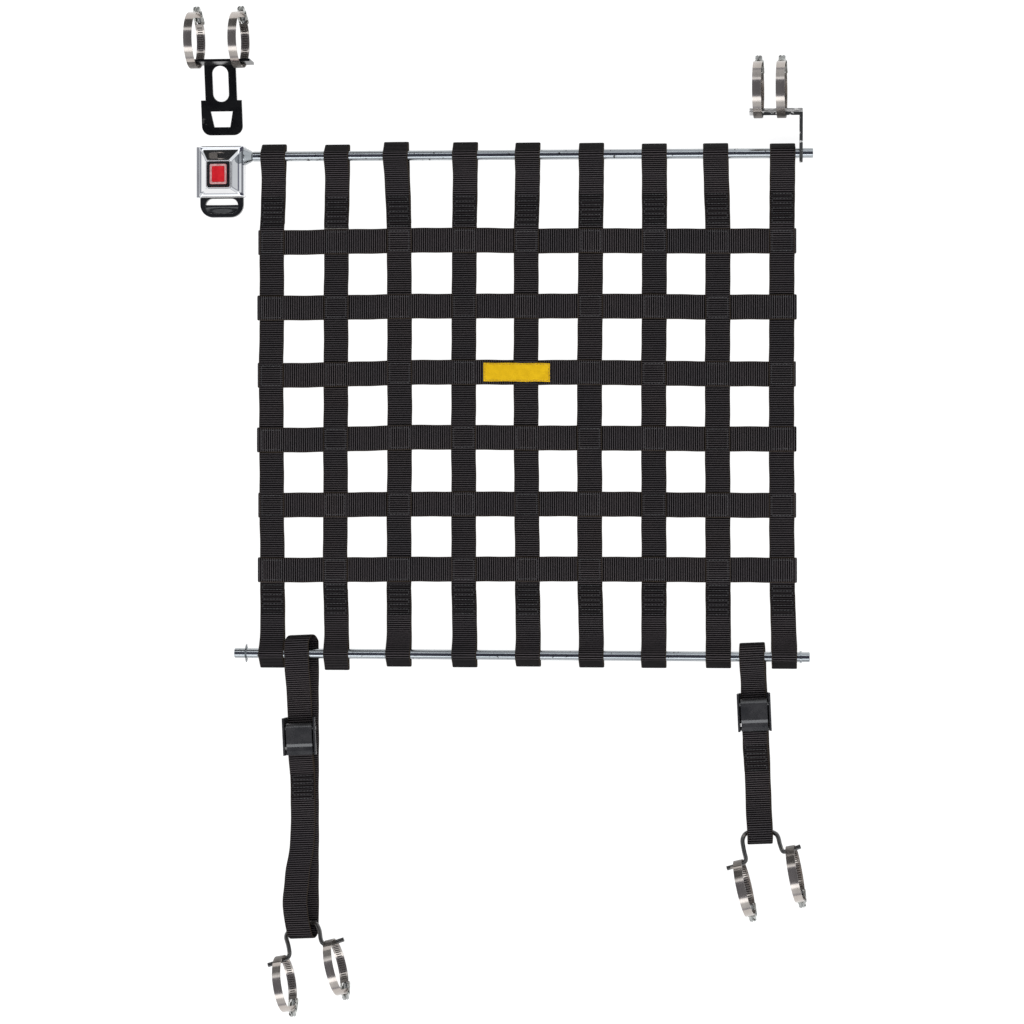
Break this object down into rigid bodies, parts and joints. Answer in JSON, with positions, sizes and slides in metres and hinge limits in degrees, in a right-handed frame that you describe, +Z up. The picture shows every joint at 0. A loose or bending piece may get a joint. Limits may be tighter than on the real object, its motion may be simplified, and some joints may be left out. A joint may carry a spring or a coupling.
{
  "type": "racing window net with mounting rods",
  "caption": "Racing window net of woven webbing on mounting rods, with a push-button latch, tongue and hinge brackets, cam-buckle straps and hose clamps.",
  "frame": {"origin": "middle of the footprint, on the surface that the net lies on", "axes": "+X along the rods towards the hinge bracket, +Y from the lower rod to the latch rod, +Z up from the surface"},
  "size_m": [0.6217, 1.0131, 0.0565],
  "materials": {
    "webbing": "ribbed black webbing",
    "label_cloth": "woven yellow cloth",
    "zinc": "bright zinc plate",
    "chrome": "polished plate",
    "stainless": "rolled stainless strip",
    "black_steel": "satin black coating",
    "black_plastic": "moulded, glossy",
    "red_plastic": "moulded, satin"
  },
  "bodies": {
    "net": {"vertical-strap-1": "webbing", "vertical-strap-2": "webbing", "vertical-strap-3": "webbing", "vertical-strap-4": "webbing", "vertical-strap-5": "webbing", "vertical-strap-6": "webbing", "vertical-strap-7": "webbing", "vertical-strap-8": "webbing", "vertical-strap-9": "webbing", "cross-strap-1": "webbing", "cross-strap-2": "webbing", "cross-strap-3": "webbing", "cross-strap-4": "webbing", "cross-strap-5": "webbing", "cross-strap-6": "webbing", "label": "label_cloth", "top-rod": "zinc", "bottom-rod": "zinc", "star-washer": "zinc", "end-ring": "zinc", "rod-weld": "zinc", "latch-cover": "chrome", "latch-base": "chrome", "latch-surround": "black_plastic", "latch-bail": "black_plastic", "tongue-bracket": "black_steel", "tongue-clamp-1-band": "stainless", "tongue-clamp-1-screw": "stainless", "tongue-clamp-2-band": "stainless", "tongue-clamp-2-screw": "stainless", "hinge-bracket": "black_steel", "hinge-clamp-1-band": "stainless", "hinge-clamp-1-screw": "stainless", "hinge-clamp-2-band": "stainless", "hinge-clamp-2-screw": "stainless", "left-strap": "webbing", "left-buckle-frame": "black_steel", "right-strap": "webbing", "right-buckle-frame": "black_steel", "left-wire": "black_steel", "left-wire-clamp-1-band": "stainless", "left-wire-clamp-1-screw": "stainless", "left-wire-clamp-2-band": "stainless", "left-wire-clamp-2-screw": "stainless", "right-wire": "black_steel", "right-wire-clamp-1-band": "stainless", "right-wire-clamp-1-screw": "stainless", "right-wire-clamp-2-band": "stainless", "right-wire-clamp-2-screw": "stainless"},
    "latch_button": {"latch-button": "red_plastic"},
    "left_lever": {"left-buckle-lever": "black_steel"},
    "right_lever": {"right-buckle-lever": "black_steel"}
  },
  "joints": [
    {"name": "button_press", "type": "slide", "parent": "net", "child": "latch_button", "axis": [0, 0, -1], "range_m": [0, 0.003], "stiffness_N_per_m": 400, "springref_m": -0.001},
    {"name": "left_lever_hinge", "type": "hinge", "parent": "net", "child": "left_lever", "pos_m": [-0.19902, -0.21749, 0.011], "axis": [-0.999, -0.0436, 0], "range_deg": [0, 75], "stiffness_Nm_per_rad": 0.02, "springref_deg": -17.19},
    {"name": "right_lever_hinge", "type": "hinge", "parent": "net", "child": "right_lever", "pos_m": [0.25508, -0.19069, 0.011], "axis": [-0.999, -0.0436, 0], "range_deg": [0, 75], "stiffness_Nm_per_rad": 0.02, "springref_deg": -17.19}
  ]
}
